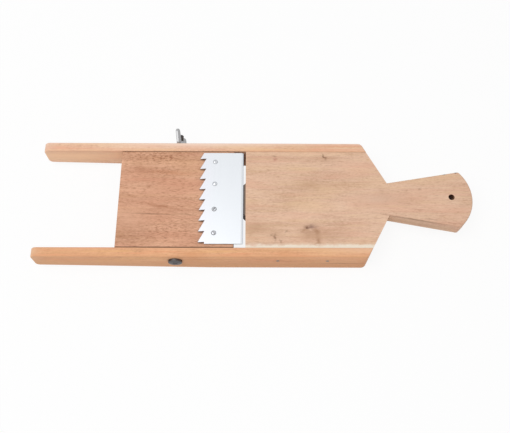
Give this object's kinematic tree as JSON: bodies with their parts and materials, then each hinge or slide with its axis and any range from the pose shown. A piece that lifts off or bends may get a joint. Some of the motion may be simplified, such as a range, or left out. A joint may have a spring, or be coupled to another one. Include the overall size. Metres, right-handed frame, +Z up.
{
  "type": "wooden vegetable slicer",
  "caption": "Wooden hand slicer: handle board between two rails, and a board with a toothed steel blade that tilts on a bolt with a wing nut to set the slice.",
  "frame": {"origin": "middle of the footprint, on the surface that the two rails stand on", "axes": "+X along the slicer from the free rail ends to the handle tip, +Y across it from the bolt head to the wing nut, +Z up"},
  "size_m": [0.4006, 0.1336, 0.0318],
  "materials": {
    "handle_wood": "planed, unfinished",
    "rail_wood": "planed, unfinished",
    "board_wood": "planed, unfinished",
    "blade_steel": "bright rolled sheet",
    "screw_steel": "zinc plated",
    "nail_steel": "bare wire nail",
    "bolt_steel": "dull steel",
    "nut_steel": "zinc plated"
  },
  "bodies": {
    "frame": {"handle_board": "handle_wood", "front_rail": "rail_wood", "rear_rail": "rail_wood", "front_rail_nails": "nail_steel", "rear_rail_nails": "nail_steel", "pivot_bolt": "bolt_steel"},
    "blade_board": {"adjusting_board": "board_wood", "blade_plate": "blade_steel", "blade_screws": "screw_steel"},
    "washer": {"washer": "screw_steel"},
    "wing_nut": {"wing_nut": "nut_steel"}
  },
  "joints": [
    {"name": "board_tilt", "type": "hinge", "parent": "frame", "child": "blade_board", "pos_m": [-0.0721, -0.0067, 0.019], "axis": [0, -1, 0], "range_deg": [-2, 6]},
    {"name": "nut_travel", "type": "slide", "parent": "frame", "child": "washer", "axis": [0, 1, 0], "range_m": [0, 0.001]},
    {"name": "wing_nut_turn", "type": "hinge", "parent": "washer", "child": "wing_nut", "pos_m": [-0.0721, 0.0514, 0.019], "axis": [0, 1, 0], "range_deg": [0, 450]}
  ],
  "couplings": [
    {"joint": "nut_travel", "follows": "wing_nut_turn", "m_per_rad": 0.00012732}
  ]
}
